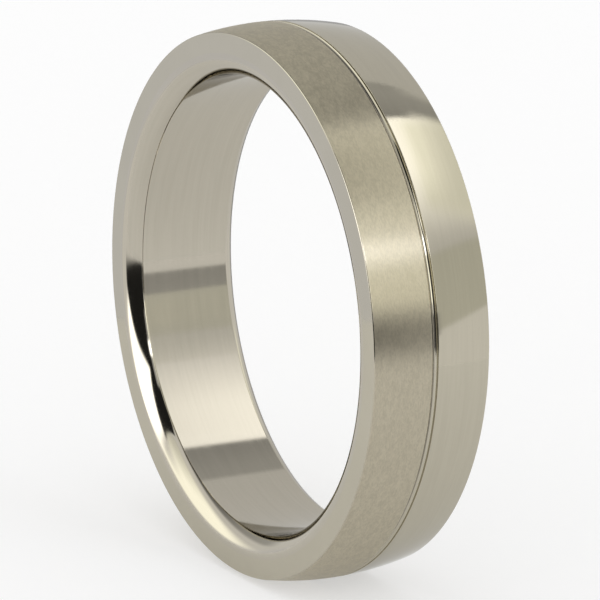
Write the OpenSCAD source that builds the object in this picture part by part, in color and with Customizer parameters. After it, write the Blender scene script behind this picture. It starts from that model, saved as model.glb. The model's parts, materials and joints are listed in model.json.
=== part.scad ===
// Wedding band: a comfort-fit inner sleeve carrying a satin band and a polished band,
// which meet at a narrow round-bottomed groove with a thin line of solder at its root.
// The finger axis runs along Y. The origin is the centre of the bore, at mid width.
// The satin band is on the -Y side and the polished band on the +Y side.

/* [Ring size] */
// Inside diameter of the straight part of the bore
bore_d = 18.2; // [15:0.1:23]
// Width of the ring from side face to side face
ring_w = 5; // [4:0.25:7]
// Wall thickness of the whole ring at the crown of its dome
wall = 1.92; // [1.7:0.02:2.4]

/* [Outside] */
// Rise of the domed outside from the side faces to the crown
dome_rise = 0.25; // [0.1:0.05:0.4]
// Width of the groove, which is round at the bottom
groove_w = 0.26; // [0.16:0.02:0.5]
// Depth of the groove from the crown
groove_depth = 0.14; // [0.06:0.02:0.3]

/* [Comfort-fit sleeve] */
// Wall thickness of the sleeve
sleeve_wall = 0.87; // [0.8:0.01:0.95]
// Radius of the rounding from each side face into the bore
comfort_r = 0.95; // [0.95:0.05:1.2]

/* [Assembly] */
// Thickness of the solder line between the two bands
solder_t = 0.05; // [0.02:0.01:0.1]

/* [Hidden] */
bore_r = bore_d / 2;
crown_r = bore_r + wall;
sleeve_r = bore_r + sleeve_wall;
half_w = ring_w / 2;
// Circle that rises by dome_rise across the whole width
dome_radius = (half_w * half_w + dome_rise * dome_rise) / (2 * dome_rise);
// Distance from mid width to the centres of the two comfort-fit roundings
rounding_y = half_w - comfort_r;
// Radius at which the centre of the groove's round bottom lies
groove_r = crown_r - groove_depth + groove_w / 2;

satin_grey = [0.64, 0.62, 0.57];
mirror_grey = [0.80, 0.78, 0.73];
bore_grey = [0.74, 0.72, 0.67];
solder_grey = [0.45, 0.43, 0.39];

$fn = 180;

// Turns a section (radius along x, width along y) about the finger axis
module turned() {
    rotate([-90, 0, 0]) rotate_extrude() children();
}

// Sleeve: a round-ended section that is bored to size, which leaves a faint crease
module comfort_sleeve() {
    color(bore_grey) turned() difference() {
        intersection() {
            union() {
                for (side = [-1, 1]) translate([sleeve_r, side * rounding_y]) circle(r = comfort_r);
                translate([sleeve_r - comfort_r, -rounding_y]) square([comfort_r, 2 * rounding_y]);
            }
            translate([sleeve_r - comfort_r, -half_w]) square([comfort_r, ring_w]);
        }
        translate([bore_r - comfort_r, -half_w]) square([comfort_r, ring_w]);
    }
}

// Section of the groove: a round bottom with straight walls above it
module groove_cut() {
    translate([groove_r, 0]) circle(d = groove_w);
    translate([groove_r, -groove_w / 2]) square([wall, groove_w]);
}

// Solder line: fills the gap between the bands, up to the groove's bottom
module solder_seam() {
    color(solder_grey) turned() difference() {
        translate([sleeve_r, -solder_t / 2]) square([wall, solder_t]);
        groove_cut();
    }
}

// One outer band on the +Y side: flat side face, domed outside, half of the groove
module outer_band() {
    turned() difference() {
        intersection() {
            translate([sleeve_r, solder_t / 2]) square([wall, half_w - solder_t / 2]);
            translate([crown_r - dome_radius, 0]) circle(r = dome_radius);
        }
        groove_cut();
    }
}

module satin_band() {
    color(satin_grey) mirror([0, 1, 0]) outer_band();
}

module polished_band() {
    color(mirror_grey) outer_band();
}

comfort_sleeve();
solder_seam();
satin_band();
polished_band();
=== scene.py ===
"""The looks of a two-finish wedding band, built round its CAD frame.

The band is turned metal: an inner sleeve with a comfort-fit bore, a satin band and a polished
band on it, and a line of solder at the root of the groove between them. Every piece is a section
carried once round the finger axis, which is Y. Lengths are in metres and angles in degrees, unless
a name says otherwise.
"""

from __future__ import annotations

import json
import logging
import math
from dataclasses import dataclass
from enum import Enum

import bpy
import numpy as np
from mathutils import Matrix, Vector
from numpy.typing import NDArray


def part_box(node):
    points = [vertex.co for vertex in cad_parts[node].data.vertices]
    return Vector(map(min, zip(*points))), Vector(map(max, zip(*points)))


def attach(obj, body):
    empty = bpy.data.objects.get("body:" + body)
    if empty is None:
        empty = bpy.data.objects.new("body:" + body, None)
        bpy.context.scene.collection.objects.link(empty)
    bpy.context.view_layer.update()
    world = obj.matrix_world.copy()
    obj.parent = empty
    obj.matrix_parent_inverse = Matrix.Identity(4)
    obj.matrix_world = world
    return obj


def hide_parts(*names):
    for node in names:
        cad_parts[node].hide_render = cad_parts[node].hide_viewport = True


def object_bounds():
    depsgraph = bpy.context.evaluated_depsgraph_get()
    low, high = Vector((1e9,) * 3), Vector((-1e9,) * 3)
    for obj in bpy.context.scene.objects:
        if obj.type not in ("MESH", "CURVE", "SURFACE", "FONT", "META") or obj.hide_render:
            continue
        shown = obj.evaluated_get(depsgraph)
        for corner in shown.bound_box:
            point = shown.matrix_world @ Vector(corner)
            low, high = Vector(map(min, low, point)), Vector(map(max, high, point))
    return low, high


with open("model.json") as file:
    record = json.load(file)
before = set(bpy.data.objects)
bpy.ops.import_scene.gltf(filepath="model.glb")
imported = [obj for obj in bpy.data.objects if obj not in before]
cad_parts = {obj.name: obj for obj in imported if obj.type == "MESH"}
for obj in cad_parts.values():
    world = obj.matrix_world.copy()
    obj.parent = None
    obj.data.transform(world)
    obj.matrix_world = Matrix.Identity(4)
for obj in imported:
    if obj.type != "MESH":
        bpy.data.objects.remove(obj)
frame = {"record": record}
CAD_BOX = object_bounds()

Floats = NDArray[np.float64]
Colour = tuple[float, float, float]

MM = 0.001
log = logging.getLogger("wedding_band")


# ---------------------------------------------------------------- the ring's dimensions


@dataclass(frozen=True)
class RingForm:
    """The ring's driving dimensions, read from the CAD frame."""

    bore_radius: float
    sleeve_radius: float
    crown_radius: float
    half_width: float
    seam_half: float
    dome_rise: float = 0.25 * MM
    groove_half: float = 0.13 * MM
    groove_depth: float = 0.14 * MM
    comfort_radius: float = 0.95 * MM

    @classmethod
    def from_frame(cls) -> RingForm:
        """Reads the mounts and the boxes of the CAD nodes.

        Returns:
            The dimensions that every piece is worked out from.
        """
        mounts = {m["name"]: m for m in frame["record"]["mounts"]}
        bore = mounts["finger_bore"]["dims"]
        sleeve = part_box("comfort_sleeve")[1]
        low, high = CAD_BOX
        return cls(
            bore_radius=bore["r_mm"] * MM,
            sleeve_radius=max(sleeve.x, sleeve.z),
            crown_radius=min(high.x, high.z, -low.x, -low.z),
            half_width=high.y,
            seam_half=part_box("solder_seam")[1].y,
        )

    @property
    def dome_radius(self) -> float:
        """Radius of the arc that rises by dome_rise over the half width."""
        return (self.half_width**2 + self.dome_rise**2) / (2 * self.dome_rise)

    @property
    def dome_centre(self) -> float:
        """Distance of the dome arc's centre from the finger axis, on the mid plane."""
        return self.crown_radius - self.dome_radius

    @property
    def groove_centre(self) -> float:
        """Distance from the finger axis to the centre of the groove's round bottom."""
        return self.crown_radius - self.groove_depth + self.groove_half


# ---------------------------------------------------------------- sections and surfaces

UV_NAME = "round_and_across"
RING_STEPS = 480  # steps round the ring
BREAK_STEPS = 10  # steps over a small rounding of a corner
JOINT_STEPS = 4  # steps along a face that another piece covers
WALL_STEPS = 18  # steps up the groove wall
DOME_STEPS = 56  # steps over the dome of one band
FACE_STEPS = 16  # steps down the side face
ROUNDING_STEPS = 40  # steps from the side face into the bore
BORE_STEPS = 40  # steps along the straight bore
SEAM_STEPS = 8  # steps over the solder at the groove's bottom

ACROSS_MID_PLANE: Floats = np.array([1.0, -1.0])  # takes (radius, y) to the other side


def bunched(count: int) -> Floats:
    """Shares from 0 up to but not including 1, closer together at both ends.

    Args:
        count: how many steps the stretch is divided into.

    Returns:
        (1 - cos(pi k / count)) / 2 for k from 0 to count - 1.
    """
    return (1 - np.cos(np.pi * np.arange(count) / count)) / 2


def straight(start: Floats, end: Floats, count: int) -> Floats:
    """Points along a straight stretch, without its last one: start + share (end - start)."""
    return start + bunched(count)[:, None] * (end - start)


def arc(centre: Floats, radius: float, first: float, last: float, count: int) -> Floats:
    """Points along a circular arc, without its last one.

    Args:
        centre: the arc's centre, as (radius from the finger axis, y).
        radius: the arc's own radius.
        first: start angle in radians, 0 pointing away from the finger axis and pi/2 along +Y.
        last: end angle in radians.
        count: how many steps the arc is divided into.

    Returns:
        centre + radius (cos a, sin a), for angles bunched at both ends.
    """
    angle = first + bunched(count) * (last - first)
    return centre + radius * np.stack([np.cos(angle), np.sin(angle)], axis=1)


def direction(angle: float) -> Floats:
    """Unit vector (cos, sin) of an angle in radians in the section plane."""
    return np.array([math.cos(angle), math.sin(angle)])


def bearing(centre: Floats, point: Floats) -> float:
    """Angle in radians at which a point is seen from a centre, 0 away from the finger axis."""
    return math.atan2(point[1] - centre[1], point[0] - centre[0])


def touching(first: float, first_gap: float, second: float, second_gap: float) -> Floats:
    """The point at two given distances from two centres on the mid plane, on the +Y side.

    With d between the centres, it is (first_gap^2 - second_gap^2 + d^2) / (2 d) along from the
    first to the second, and off the mid plane by what is left of first_gap.

    Args:
        first: the first centre's distance from the finger axis.
        first_gap: distance of the point from the first centre.
        second: the second centre's distance from the finger axis.
        second_gap: distance of the point from the second centre.

    Returns:
        The point, as (radius from the finger axis, y).
    """
    apart = second - first
    along = (first_gap**2 - second_gap**2 + apart**2) / (2 * apart)
    return np.array([first + along, math.sqrt(first_gap**2 - along**2)])


@dataclass(frozen=True)
class Run:
    """A stretch of a section: its points (radius, y), its finish and whether it starts sharp."""

    points: Floats
    finish: int = 0
    sharp: bool = False


@dataclass(frozen=True)
class Section:
    """A closed outline in the plane of (radius, y), made of runs that follow each other."""

    runs: list[Run]

    @property
    def points(self) -> Floats:
        """All points in order, one row each."""
        return np.concatenate([run.points for run in self.runs])

    @property
    def finishes(self) -> NDArray[np.int32]:
        """The finish of the stretch that starts at each point."""
        return np.concatenate(
            [np.full(len(run.points), run.finish, np.int32) for run in self.runs]
        )

    @property
    def sharp(self) -> NDArray[np.bool_]:
        """Whether each point is a sharp corner."""
        flags = [np.arange(len(run.points)) == 0 if run.sharp else np.zeros(len(run.points), bool)
                 for run in self.runs]
        return np.concatenate(flags)

    def mirrored(self) -> Section:
        """The same section on the other side of the mid plane."""
        return Section(
            [Run(run.points * ACROSS_MID_PLANE, run.finish, run.sharp) for run in self.runs]
        )


def turned_surface(name: str, section: Section, steps: int = RING_STEPS) -> bpy.types.Object:
    """Carries a section once round the finger axis and closes it on itself.

    The point (radius r, y) at angle t goes to (r cos t, y, r sin t). The UV map runs once round
    the ring in u, and once along the section's outline in v, by length.

    Args:
        name: name of the object and its mesh.
        section: the closed outline.
        steps: number of steps round the ring.

    Returns:
        The new object, linked to the scene, with its faces pointing out of the metal.
    """
    outline = section.points
    count = len(outline)
    angle = np.arange(steps) / steps * 2 * np.pi
    radius = outline[:, 0][:, None]
    place = np.stack(
        [
            radius * np.cos(angle),
            np.broadcast_to(outline[:, 1][:, None], (count, steps)),
            radius * np.sin(angle),
        ],
        axis=-1,
    )
    row, column = np.meshgrid(np.arange(count), np.arange(steps), indexing="ij")
    next_row = (row + 1) % count
    next_column = (column + 1) % steps
    corners = np.stack(
        [
            row * steps + column,
            next_row * steps + column,
            next_row * steps + next_column,
            row * steps + next_column,
        ],
        axis=-1,
    ).reshape(-1, 4)
    ahead = np.roll(outline, -1, axis=0)
    length = np.concatenate([[0.0], np.cumsum(np.linalg.norm(ahead - outline, axis=1))])
    length /= length[-1]
    around = np.stack([column, column, column + 1, column + 1], axis=-1) / steps
    along = np.stack([length[row], length[row + 1], length[row + 1], length[row]], axis=-1)
    uv = np.stack([around, along], axis=-1).reshape(-1, 4, 2)
    twice_area = np.sum(outline[:, 0] * ahead[:, 1] - ahead[:, 0] * outline[:, 1])
    if twice_area < 0:
        corners = corners[:, ::-1]
        uv = uv[:, ::-1]

    mesh = bpy.data.meshes.new(name)
    mesh.vertices.add(count * steps)
    mesh.vertices.foreach_set("co", place.astype(np.float32).ravel())
    mesh.loops.add(corners.size)
    mesh.loops.foreach_set("vertex_index", corners.astype(np.int32).ravel())
    mesh.polygons.add(len(corners))
    mesh.polygons.foreach_set("loop_start", np.arange(0, corners.size, 4, dtype=np.int32))
    mesh.polygons.foreach_set("material_index", np.repeat(section.finishes, steps))
    mesh.update(calc_edges=True)
    layer = mesh.uv_layers.new(name=UV_NAME)
    layer.data.foreach_set("uv", uv.astype(np.float32).ravel())
    ends = np.empty(len(mesh.edges) * 2, np.int32)
    mesh.edges.foreach_get("vertices", ends)
    rings = ends.reshape(-1, 2) // steps
    crisp = (rings[:, 0] == rings[:, 1]) & section.sharp[rings[:, 0]]
    mesh.attributes.new("sharp_edge", "BOOLEAN", "EDGE").data.foreach_set("value", crisp)
    mesh.validate()

    piece = bpy.data.objects.new(name, mesh)
    bpy.context.scene.collection.objects.link(piece)
    return piece


# ---------------------------------------------------------------- finishes

FINER_SHARE = 0.6  # strength of each finer octave of noise, as a share of the one before
NOISE_RANGE = (0.3, 0.7)  # where most of a noise's values lie
TONE_RANGE = (0.7, 1.3)  # sum of two noises over which the colour goes from dull to bright
PATCH_PITCHES = 4  # width of a dull patch, in grain pitches
QUARTER_TURN = 0.25  # turns the stretch of the highlights across the grain
EDGE_TINT: Colour = (0.8, 0.8, 0.8)  # share of its mirror strength that the alloy keeps edge on


class Graph:
    """A node tree of a material or of the world, put together by short calls."""

    def __init__(self, owner: bpy.types.Material | bpy.types.World) -> None:
        """Starts an empty tree.

        Args:
            owner: the material or world that the tree belongs to.
        """
        owner.use_nodes = True
        self.tree = owner.node_tree
        self.tree.nodes.clear()

    def put(self, kind: str, inputs: dict[str | int, object], **settings: object) -> bpy.types.Node:
        """Adds a node.

        Args:
            kind: the node's type, without its ShaderNode prefix.
            inputs: socket name or number to a value, or to another node's output.
            settings: the node's own properties.

        Returns:
            The new node.
        """
        node = self.tree.nodes.new("ShaderNode" + kind)
        for key, value in settings.items():
            setattr(node, key, value)
        for key, value in inputs.items():
            if isinstance(value, bpy.types.NodeSocket):
                self.tree.links.new(value, node.inputs[key])
            else:
                node.inputs[key].default_value = value
        return node

    def math(self, operation: str, first: object, second: object = 0.0) -> bpy.types.NodeSocket:
        """The result of a Math node."""
        return self.put("Math", {0: first, 1: second}, operation=operation).outputs[0]

    def remap(
        self, value: bpy.types.NodeSocket, low: float, high: float, to_low: float, to_high: float
    ) -> bpy.types.NodeSocket:
        """Brings a value smoothly from one range to another, and holds it at the ends.

        Args:
            value: what is brought over.
            low: start of the range that it comes from.
            high: end of that range.
            to_low: what low becomes.
            to_high: what high becomes.

        Returns:
            The value in its new range.
        """
        inputs = {"Value": value, "From Min": low, "From Max": high}
        inputs |= {"To Min": to_low, "To Max": to_high}
        return self.put("MapRange", inputs, interpolation_type="SMOOTHSTEP").outputs["Result"]

    def noise(
        self, across: float, around: float, detail: float = 2.0, offset: float = 0.0
    ) -> bpy.types.NodeSocket:
        """Noise on Object coordinates, drawn out round the ring.

        Args:
            across: features per metre along the finger axis.
            around: features per metre round the ring.
            detail: octaves of finer noise.
            offset: shift that tells one layer from another.

        Returns:
            A value near 0.5, mostly between 0.3 and 0.7.
        """
        place = self.put("TexCoord", {}).outputs["Object"]
        inputs = {"Vector": place, "Scale": (around, across, around), "Location": (offset,) * 3}
        spread = self.put("Mapping", inputs).outputs["Vector"]
        inputs = {"Vector": spread, "Scale": 1.0, "Detail": detail, "Roughness": FINER_SHARE}
        return self.put("TexNoise", inputs).outputs["Fac"]


@dataclass(frozen=True)
class MetalFinish:
    """A worked surface of the pale alloy.

    Attributes:
        name: name of the material.
        colour: reflectance of the metal, face on.
        darker: reflectance in the dullest patches.
        roughness: lowest and highest roughness.
        stretch: how far highlights are drawn out across the grain, from 0 to 1.
        grain_pitch: spacing of the marks that run round the ring.
        grain_length: length of those marks.
        grain_height: height of those marks.
        wave_length: size of the slow undulation left by the wheel.
        wave_height: height of that undulation.
    """

    name: str
    colour: Colour
    darker: Colour
    roughness: tuple[float, float]
    stretch: float
    grain_pitch: float
    grain_length: float
    grain_height: float
    wave_length: float
    wave_height: float

    def material(self) -> bpy.types.Material:
        """Builds the node material.

        Returns:
            A metal whose colour and roughness vary in soft patches, with marks drawn out round
            the ring and a slow undulation in its normal.
        """
        made = bpy.data.materials.new(self.name)
        graph = Graph(made)
        grain = graph.noise(1 / self.grain_pitch, 1 / self.grain_length, detail=3.0)
        patch_width = PATCH_PITCHES * self.grain_pitch
        patch = graph.noise(1 / patch_width, 1 / self.wave_length, detail=3.0, offset=7.0)
        wave = graph.noise(1 / self.wave_length, 1 / self.wave_length, detail=1.0, offset=3.0)
        tone = graph.remap(graph.math("ADD", grain, patch), *TONE_RANGE, 0.0, 1.0)
        mix = graph.put(
            "Mix",
            {0: tone, 6: (*self.darker, 1.0), 7: (*self.colour, 1.0)},
            data_type="RGBA",
        )
        undulation = graph.put("Bump", {"Height": wave, "Distance": self.wave_height})
        marks = graph.put(
            "Bump",
            {"Height": grain, "Distance": self.grain_height, "Normal": undulation.outputs[0]},
        )
        tangent = graph.put("Tangent", {}, direction_type="UV_MAP", uv_map=UV_NAME)
        shader = graph.put(
            "BsdfPrincipled",
            {
                "Base Color": mix.outputs[2],
                "Metallic": 1.0,
                "Specular Tint": (*EDGE_TINT, 1.0),
                "Roughness": graph.remap(patch, *NOISE_RANGE, *self.roughness),
                "Anisotropic": self.stretch,
                "Anisotropic Rotation": QUARTER_TURN,
                "Tangent": tangent.outputs[0],
                "Normal": marks.outputs[0],
            },
        )
        graph.put("OutputMaterial", {"Surface": shader.outputs[0]})
        return made


POLISHED = MetalFinish(
    name="polished_alloy",
    colour=(0.495, 0.461, 0.372),
    darker=(0.475, 0.442, 0.356),
    roughness=(0.06, 0.09),
    stretch=0.3,
    grain_pitch=0.05 * MM,
    grain_length=3.0 * MM,
    grain_height=0.00002 * MM,
    wave_length=3.0 * MM,
    wave_height=0.002 * MM,
)
BORE_POLISH = MetalFinish(
    name="bore_polish",
    colour=(0.495, 0.459, 0.383),
    darker=(0.473, 0.44, 0.365),
    roughness=(0.07, 0.10),
    stretch=0.4,
    grain_pitch=0.08 * MM,
    grain_length=6.0 * MM,
    grain_height=0.00004 * MM,
    wave_length=4.0 * MM,
    wave_height=0.001 * MM,
)
SATIN = MetalFinish(
    name="satin_alloy",
    colour=(0.6, 0.547, 0.424),
    darker=(0.475, 0.432, 0.331),
    roughness=(0.36, 0.42),
    stretch=1.0,
    grain_pitch=0.055 * MM,
    grain_length=0.13 * MM,
    grain_height=0.003 * MM,
    wave_length=0.4 * MM,
    wave_height=0.0006 * MM,
)
SOLDER = MetalFinish(
    name="solder_alloy",
    colour=(0.34, 0.31, 0.26),
    darker=(0.22, 0.20, 0.17),
    roughness=(0.30, 0.45),
    stretch=0.2,
    grain_pitch=0.03 * MM,
    grain_length=0.2 * MM,
    grain_height=0.001 * MM,
    wave_length=0.8 * MM,
    wave_height=0.001 * MM,
)


# ---------------------------------------------------------------- the ring's pieces


class Side(Enum):
    """Which side of the groove an outer band is on."""

    SATIN = -1
    POLISHED = 1


def dress(piece: bpy.types.Object, node: str, finishes: list[MetalFinish]) -> None:
    """Gives a piece its materials, hangs it from the root body and hides the CAD node that it
    stands for.

    Args:
        piece: the finished object.
        node: the CAD node that it replaces.
        finishes: materials, in the order of the section's finish numbers.
    """
    for finish in finishes:
        found = bpy.data.materials.get(finish.name)
        piece.data.materials.append(found or finish.material())
    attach(piece, "root")
    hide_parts(node)
    log.info("%s stands for %s: %d faces", piece.name, node, len(piece.data.polygons))


@dataclass(frozen=True)
class OuterBand:
    """One of the two bands outside: groove wall, domed outside and flat side face.

    Attributes:
        form: the ring's dimensions.
        side: which side of the groove it is on.
        edge_break: radius of the rounding between the dome and the side face.
        lip_break: radius of the rounding between the groove wall and the dome.
    """

    form: RingForm
    side: Side
    edge_break: float = 0.04 * MM
    lip_break: float = 0.02 * MM

    def section(self) -> Section:
        """The outline on the +Y side, mirrored for the satin band.

        It goes up the round groove wall, over the lip and the dome to the side face, down the
        side face to the sleeve, and back along the joint faces. The lip is an arc that touches
        the groove's circle from outside and the dome's from inside, and the edge is an arc that
        touches the dome and the side face. Finish 1 is the outside, and 0 the rest.

        Returns:
            The closed outline.
        """
        form = self.form
        quarter = math.pi / 2
        centre = np.array([form.dome_centre, 0.0])
        groove = np.array([form.groove_centre, 0.0])
        lip = touching(
            form.dome_centre,
            form.dome_radius - self.lip_break,
            form.groove_centre,
            form.groove_half + self.lip_break,
        )
        height = form.half_width - self.edge_break
        reach = math.sqrt((form.dome_radius - self.edge_break) ** 2 - height**2)
        edge = np.array([form.dome_centre + reach, height])
        root = math.pi - math.asin(form.seam_half / form.groove_half)
        lip_groove = bearing(groove, lip)
        lip_dome = bearing(centre, lip)
        edge_dome = bearing(centre, edge)
        floor = groove + form.groove_half * direction(root)
        face_top = edge + self.edge_break * direction(quarter)
        face_foot = np.array([form.sleeve_radius, form.half_width])
        joint_foot = np.array([form.sleeve_radius, form.seam_half])
        made = Section(
            [
                Run(arc(groove, form.groove_half, root, lip_groove, WALL_STEPS), sharp=True),
                Run(arc(lip, self.lip_break, lip_groove - math.pi, lip_dome, BREAK_STEPS)),
                Run(arc(centre, form.dome_radius, lip_dome, edge_dome, DOME_STEPS), finish=1),
                Run(arc(edge, self.edge_break, edge_dome, quarter, BREAK_STEPS)),
                Run(straight(face_top, face_foot, FACE_STEPS)),
                Run(straight(face_foot, joint_foot, JOINT_STEPS), sharp=True),
                Run(straight(joint_foot, floor, JOINT_STEPS), sharp=True),
            ]
        )
        return made if self.side is Side.POLISHED else made.mirrored()

    def build(self) -> bpy.types.Object:
        """Makes the band and dresses it.

        Returns:
            The finished piece.
        """
        if self.side is Side.POLISHED:
            piece = turned_surface("polished_half", self.section())
            dress(piece, "polished_band", [POLISHED, POLISHED])
        else:
            piece = turned_surface("satin_half", self.section())
            dress(piece, "satin_band", [POLISHED, SATIN])
        return piece


@dataclass(frozen=True)
class InnerSleeve:
    """The sleeve that the bands sit on: comfort-fit roundings and a straight bore.

    Attributes:
        form: the ring's dimensions.
        crease_break: radius that softens the crease between a rounding and the bore.
    """

    form: RingForm
    crease_break: float = 0.15 * MM

    def section(self) -> Section:
        """The outline: outer wall, rounding, bore and the other rounding.

        Each rounding is an arc that leaves the side face squarely. It would end deeper than the
        bore, which is cut a little wider, so a tighter arc joins the two where the crease is. The
        +Y side is worked out, and the other is its mirror image.

        Returns:
            The closed outline.
        """
        form = self.form
        radius = form.comfort_radius
        soft = self.crease_break
        rounding = np.array([form.sleeve_radius, form.half_width - radius])
        drop = form.sleeve_radius - form.bore_radius - soft
        crease = np.array(
            [form.bore_radius + soft, rounding[1] + math.sqrt((radius - soft) ** 2 - drop**2)]
        )
        turned_to = bearing(rounding, crease)
        bore_end = crease - np.array([soft, 0.0])
        far = np.concatenate(
            [
                arc(rounding, radius, math.pi / 2, turned_to, ROUNDING_STEPS),
                arc(crease, soft, turned_to, math.pi, BREAK_STEPS),
            ]
        )
        near = np.concatenate([far[1:], bore_end[None]])[::-1] * ACROSS_MID_PLANE
        return Section(
            [
                Run(straight(far[0] * ACROSS_MID_PLANE, far[0], JOINT_STEPS), sharp=True),
                Run(far, sharp=True),
                Run(straight(bore_end, bore_end * ACROSS_MID_PLANE, BORE_STEPS)),
                Run(near),
            ]
        )

    def build(self) -> bpy.types.Object:
        """Makes the sleeve and dresses it.

        Returns:
            The finished piece.
        """
        piece = turned_surface("inner_sleeve", self.section())
        dress(piece, "comfort_sleeve", [BORE_POLISH])
        return piece


@dataclass(frozen=True)
class SolderLine:
    """The solder between the bands, which carries the groove's round bottom on."""

    form: RingForm

    def section(self) -> Section:
        """The outline: two joint faces, the sleeve side, and an arc of the groove's circle.

        Returns:
            The closed outline.
        """
        form = self.form
        groove = np.array([form.groove_centre, 0.0])
        swing = math.asin(form.seam_half / form.groove_half)
        foot = np.array([form.sleeve_radius, form.seam_half])
        floor = groove + form.groove_half * direction(math.pi - swing)
        near_foot = foot * ACROSS_MID_PLANE
        near_floor = floor * ACROSS_MID_PLANE
        first, last = math.pi + swing, math.pi - swing
        return Section(
            [
                Run(straight(near_foot, near_floor, JOINT_STEPS), sharp=True),
                Run(arc(groove, form.groove_half, first, last, SEAM_STEPS), sharp=True),
                Run(straight(floor, foot, JOINT_STEPS), sharp=True),
                Run(straight(foot, near_foot, JOINT_STEPS), sharp=True),
            ]
        )

    def build(self) -> bpy.types.Object:
        """Makes the solder line and dresses it.

        Returns:
            The finished piece.
        """
        piece = turned_surface("solder_line", self.section())
        dress(piece, "solder_seam", [SOLDER])
        return piece


# ---------------------------------------------------------------- the studio


WARM: Colour = (0.995, 1.0, 0.92)
TAN: Colour = (1.0, 0.95, 0.78)
WHITE: Colour = (1.0, 1.0, 1.0)
COOL: Colour = (0.93, 0.945, 1.0)


class Compass(Enum):
    """How a panel's corners are given, as a span of one angle between limits of another.

    FINGER: around the finger axis, 0 towards +X and 90 straight up; along it, 90 towards +Y.
    FLOOR: around the upright, 0 towards -Y and 90 towards +X; above the horizon, 90 straight up.
    """

    FINGER = "finger"
    FLOOR = "floor"

    def direction(self, turn: Floats, lean: Floats) -> Floats:
        """Unit vectors of the two angles, with (x, y, z) in the last axis.

        Args:
            turn: the first angle, in radians.
            lean: the second angle, in radians.

        Returns:
            One vector for each pair of angles.
        """
        level = np.cos(lean)
        if self is Compass.FINGER:
            return np.stack([level * np.cos(turn), np.sin(lean), level * np.sin(turn)], axis=-1)
        return np.stack([level * np.sin(turn), -level * np.cos(turn), np.sin(lean)], axis=-1)


@dataclass(frozen=True)
class Panel:
    """A curved soft box, or a grey or black flag, standing round the ring.

    Attributes:
        name: name of the object.
        limits: its lower and upper limits of the second angle.
        lower: its span of the first angle, at its lower limit.
        upper: its span of the first angle, at its upper limit.
        level: radiance at the first and at the last side of the span, 1 for the air's own.
        ramp: share of the span over which the level changes.
        fade: width of the soft edges as shares of the span around and of the span along.
        distance: distance from the ring, so that a nearer panel hides a farther one.
        tint: colour of the light.
        compass: the angles that its corners are given in.
    """

    name: str
    limits: tuple[float, float]
    lower: tuple[float, float]
    upper: tuple[float, float]
    level: tuple[float, float] = (0.02, 0.02)
    ramp: float = 1.0
    fade: tuple[float, float] = (0.08, 0.1)
    distance: float = 1.5
    tint: Colour = WHITE
    compass: Compass = Compass.FINGER

    def build(self, cells: int = 32) -> bpy.types.Object:
        """Makes the panel, a patch of the sphere of its distance between its four corners.

        Args:
            cells: divisions of the panel each way.

        Returns:
            The panel, which only shows in what the metal mirrors.
        """
        share = np.linspace(0, 1, cells + 1)
        across, up = np.meshgrid(share, share, indexing="ij")
        first = self.lower[0] + up * (self.upper[0] - self.lower[0])
        last = self.lower[1] + up * (self.upper[1] - self.lower[1])
        turn = np.radians(first + across * (last - first))
        lean = np.radians(self.limits[0] + up * (self.limits[1] - self.limits[0]))
        place = self.distance * self.compass.direction(turn, lean)
        number = np.arange((cells + 1) ** 2).reshape(cells + 1, cells + 1)
        corners = np.stack(
            [number[:-1, :-1], number[1:, :-1], number[1:, 1:], number[:-1, 1:]], axis=-1
        ).reshape(-1, 4)
        mesh = bpy.data.meshes.new(self.name)
        mesh.from_pydata(place.reshape(-1, 3).tolist(), [], corners.tolist())
        uv = np.stack([across, up], axis=-1).reshape(-1, 2)[corners.ravel()]
        mesh.uv_layers.new(name="panel").data.foreach_set("uv", uv.astype(np.float32).ravel())
        mesh.materials.append(self.material())
        piece = bpy.data.objects.new(self.name, mesh)
        bpy.context.scene.collection.objects.link(piece)
        piece.visible_camera = False
        piece.visible_diffuse = False
        piece.visible_shadow = False
        return piece

    def material(self) -> bpy.types.Material:
        """Light or black that fades to nothing at the panel's edges.

        Returns:
            A glow that changes along the span and is cleared away towards each edge.
        """
        made = bpy.data.materials.new(self.name)
        graph = Graph(made)
        share = graph.put("SeparateXYZ", {0: graph.put("UVMap", {}, uv_map="panel").outputs[0]})
        cover: object = 1.0
        for axis, fade in zip("XY", self.fade, strict=True):
            here = share.outputs[axis]
            nearest = graph.math("MINIMUM", here, graph.math("SUBTRACT", 1.0, here))
            edge = graph.remap(nearest, 0.0, fade, 0.0, 1.0)
            cover = graph.math("MULTIPLY", edge, cover)
        strength = graph.remap(share.outputs["X"], 0.0, self.ramp, *self.level)
        light = graph.put("Emission", {"Color": (*self.tint, 1.0), "Strength": strength})
        clear = graph.put("BsdfTransparent", {})
        mixed = graph.put("MixShader", {0: cover, 1: clear.outputs[0], 2: light.outputs[0]})
        graph.put("OutputMaterial", {"Surface": mixed.outputs[0]})
        return made


FLOOR = Compass.FLOOR
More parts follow.
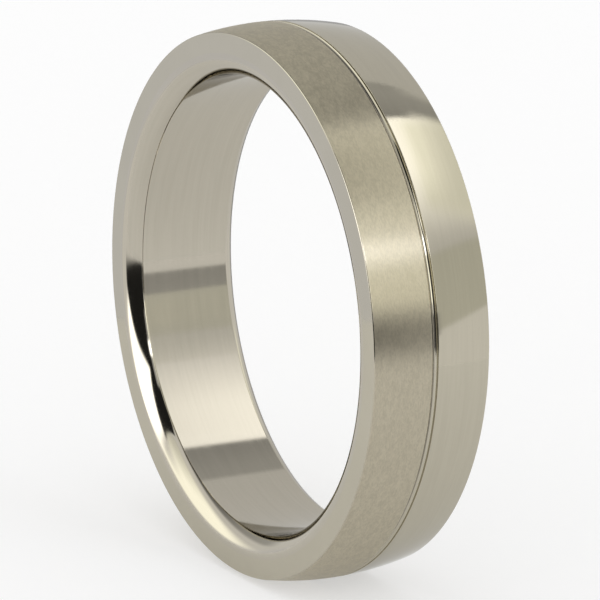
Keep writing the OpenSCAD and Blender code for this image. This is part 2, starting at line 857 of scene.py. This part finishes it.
# In order: name, limits, lower, upper, level, ramp, fade, distance, tint.
PANELS = [
    # beyond the ring, which the bore and the polished band mirror
    Panel("right_fill", (20, 60), (-9, 40), (1, 40), (0.75, 0.72), 1.0, (0.06, 0.15), 1.9, WARM),
    Panel("key", (22, 62), (20, 88), (36, 109), (0.8, 2.1), 0.66, (0.06, 0.2), 1.8),
    Panel("warm_key", (31, 62), (40, 91), (42, 108), (1.15, 1.75), 0.5, (0.2, 0.2), 1.78, WARM),
    Panel("key_veil", (33, 66), (34, 112), (40, 118), (1.1, 1.2), 1.0, (0.2, 0.5), 1.7, WARM),
    Panel("half_shade", (18, 62), (103, 178), (104, 178), (0.77, 0.87), 1.0, (0.05, 0.15), 1.85),
    Panel("shade", (20, 42), (82, 110), (92, 112), (0.4, 0.52), 1.0, (0.12, 0.3), 1.6),
    Panel("high_shade", (26, 60), (84, 109), (99, 116), (0.45, 0.56), 1.0, (0.36, 0.15), 1.55),
    Panel("dim_horizon", (22, 33), (-9.5, 5), (-7, 3), (0.45, 0.49), 1.0, (0.14, 0.25), 1.6),
    Panel("far_shade", (4, 64), (168, 220), (168, 220), (0.5, 0.5), 1.0, (0.2, 0.15), 1.95),
    # over the ring, which the satin band mirrors
    Panel("low_front", (-20, 24), (6, 48), (6, 48), (2.6, 1.4), 1.0, (0.05, 0.1), 1.9, WARM),
    Panel("high_front", (-20, 24), (44, 83), (44, 83), (0.92, 0.72), 1.0, (0.12, 0.1), 1.88, WARM),
    Panel("top_shade", (-20, 24), (78, 175), (78, 175), (0.03, 0.6), 1.0, (0.1, 0.2), 1.87),
    Panel("tan_patch", (10, 27), (44, 84), (44, 84), (0.62, 0.62), 1.0, (0.25, 0.35), 1.7, TAN),
    Panel("front_veil", (12, 27), (3, 22), (3, 22), (1.1, 1.3), 1.0, (0.3, 0.4), 1.75, TAN),
    Panel("black_horizon", (-26, 24), (-12, 4), (-12, 4), (0.15, 0.15), fade=(0.14, 0.08)),
    # towards the camera, which the near rounding and the groove mirror
    Panel("camera_black", (-14, 33), (-22, 67), (-10, 67), fade=(0.04, 0.06), compass=FLOOR),
    Panel("high_black", (24, 64), (-17, 67), (25, 67), fade=(0.05, 0.08), compass=FLOOR),
    Panel("camera_grey", (-33, -17), (9, 52), (9, 52), (0.55, 0.6), 1.0, (0.08, 0.2), 1.45),
    Panel("strip_light", (-37, 20), (25, 36), (24, 33), (4.8, 4.8), 1.0, (0.3, 0.2), 1.4, COOL),
    Panel("left_box", (-64, -24), (78, 184), (76, 184), (1.0, 2.0), 0.6, (0.1, 0.3), 1.9, WARM),
    Panel("window", (-10, 30), (-50, -16), (-10, 40), (3, 3), 1.0, (0.16, 0.1), 1.4, compass=FLOOR),
    Panel("low_window", (-90, -67), (49, 180), (51, 180), (2.2, 2.4), 1.0, (0.04, 0.1), 1.6),
    Panel("left_low", (-44, -12), (170, 220), (170, 220), (0.98, 0.98), 1.0, (0.3, 0.3), 1.9, COOL),
    Panel("back_glow", (58, 90), (50, 128), (50, 128), (1.35, 1.35), 1.0, (0.2, 0.25), 1.9, WARM),
]


@dataclass(frozen=True)
class Studio:
    """Floor, air and panels round the ring.

    Attributes:
        floor_z: height of the floor.
        sheet_radius: how far the paper under the ring is mirrored in it.
        floor_radius: how far the floor goes.
        floor_sides: sides of the paper's outline.
        floor_colour: reflectance of the paper.
        cloud_colour: reflectance of the paper in its faint clouds.
        clouds: number of clouds per metre.
        glow: what the lamps under the paper add to it.
        air: colour of the even light from all round.
    """

    floor_z: float
    sheet_radius: float = 45 * MM
    floor_radius: float = 3.0
    floor_sides: int = 96
    floor_colour: Colour = (0.56, 0.56, 0.56)
    cloud_colour: Colour = (0.5544, 0.5544, 0.5544)
    clouds: float = 900.0
    glow: float = 0.44
    air: Colour = WHITE

    def build(self) -> None:
        """Makes the floor, the pale air round it and every panel."""
        self.floor()
        world = bpy.data.worlds.new("pale_air")
        bpy.context.scene.world = world
        graph = Graph(world)
        air = graph.put("Background", {"Color": (*self.air, 1.0), "Strength": 1.0})
        graph.put("OutputWorld", {"Surface": air.outputs[0]})
        for panel in PANELS:
            panel.build()
        view = bpy.context.scene.view_settings
        view.view_transform = "Standard"
        view.look = "None"

    def paper(self) -> bpy.types.Material:
        """Plain pale paper with a faint cloudiness, on a softly lit table.

        Returns:
            A matt material with an even glow added to it.
        """
        made = bpy.data.materials.new("pale_paper")
        graph = Graph(made)
        fibre = graph.noise(self.clouds, self.clouds, detail=4.0)
        tone = graph.put(
            "Mix",
            {0: fibre, 6: (*self.cloud_colour, 1.0), 7: (*self.floor_colour, 1.0)},
            data_type="RGBA",
        )
        paper = graph.put("BsdfDiffuse", {"Color": tone.outputs[2], "Roughness": 1.0})
        lit = graph.put("Emission", {"Color": (*WHITE, 1.0), "Strength": self.glow})
        both = graph.put("AddShader", {0: paper.outputs[0], 1: lit.outputs[0]})
        graph.put("OutputMaterial", {"Surface": both.outputs[0]})
        return made

    def floor(self) -> list[bpy.types.Object]:
        """A disc of paper under the ring, and the floor round it, which the metal doesn't mirror.

        Returns:
            The two pieces of floor.
        """
        sides = self.floor_sides
        angle = np.linspace(0, 2 * np.pi, sides, endpoint=False)
        circle = np.stack([np.cos(angle), np.sin(angle), 0 * angle], axis=1)
        level = np.array([0.0, 0.0, self.floor_z])
        near = self.sheet_radius * circle + level
        far = self.floor_radius * circle + level
        index = np.arange(sides)
        after = (index + 1) % sides
        band = np.stack([index, index + sides, after + sides, after], axis=1)
        shapes = {
            "sheet": (near, [index.tolist()]),
            "floor": (np.concatenate([near, far]), band.tolist()),
        }
        paper = self.paper()
        pieces = []
        for name, (points, faces) in shapes.items():
            mesh = bpy.data.meshes.new(name)
            mesh.from_pydata(points.tolist(), [], faces)
            mesh.materials.append(paper)
            piece = bpy.data.objects.new(name, mesh)
            bpy.context.scene.collection.objects.link(piece)
            pieces.append(piece)
        pieces[1].visible_glossy = False
        return pieces


@dataclass(frozen=True)
class View:
    """The camera's stand.

    Attributes:
        azimuth: angle round the ring, 0 looking along +Y and 90 along -X.
        elevation: angle above the horizon.
        distance: from the camera to the point that it looks at.
        aside: how far that point is to the right of the ring's centre.
        lens: focal length, in millimetres.
        sensor: width of the sensor, in millimetres.
        nearest: how close to the camera a thing may be and still show.
    """

    azimuth: float = 60.84
    elevation: float = 13.34
    distance: float = 177.0 * MM
    aside: float = 0.307 * MM
    lens: float = 269.8
    sensor: float = 36.0
    nearest: float = 10 * MM

    def build(self) -> bpy.types.Object:
        """Makes the camera and sets it as the scene's.

        Returns:
            The camera object.
        """
        turn = math.radians(self.azimuth)
        lift = math.radians(self.elevation)
        back = Vector(
            (math.sin(turn) * math.cos(lift), -math.cos(turn) * math.cos(lift), math.sin(lift))
        )
        right = Vector((math.cos(turn), math.sin(turn), 0.0))
        data = bpy.data.cameras.new("camera")
        data.lens = self.lens
        data.sensor_width = self.sensor
        data.clip_start = self.nearest
        camera = bpy.data.objects.new("camera", data)
        camera.location = right * self.aside + back * self.distance
        camera.rotation_mode = "QUATERNION"
        camera.rotation_quaternion = (-back).to_track_quat("-Z", "Y")
        bpy.context.scene.collection.objects.link(camera)
        bpy.context.scene.camera = camera
        return camera


def main() -> None:
    """Builds the studio, the camera and the ring's pieces."""
    logging.basicConfig(level=logging.INFO, format="%(name)s: %(message)s")
    form = RingForm.from_frame()
    Studio(floor_z=CAD_BOX[0].z).build()
    View().build()
    InnerSleeve(form).build()
    OuterBand(form, Side.SATIN).build()
    OuterBand(form, Side.POLISHED).build()
    SolderLine(form).build()


if __name__ == "__main__":
    main()
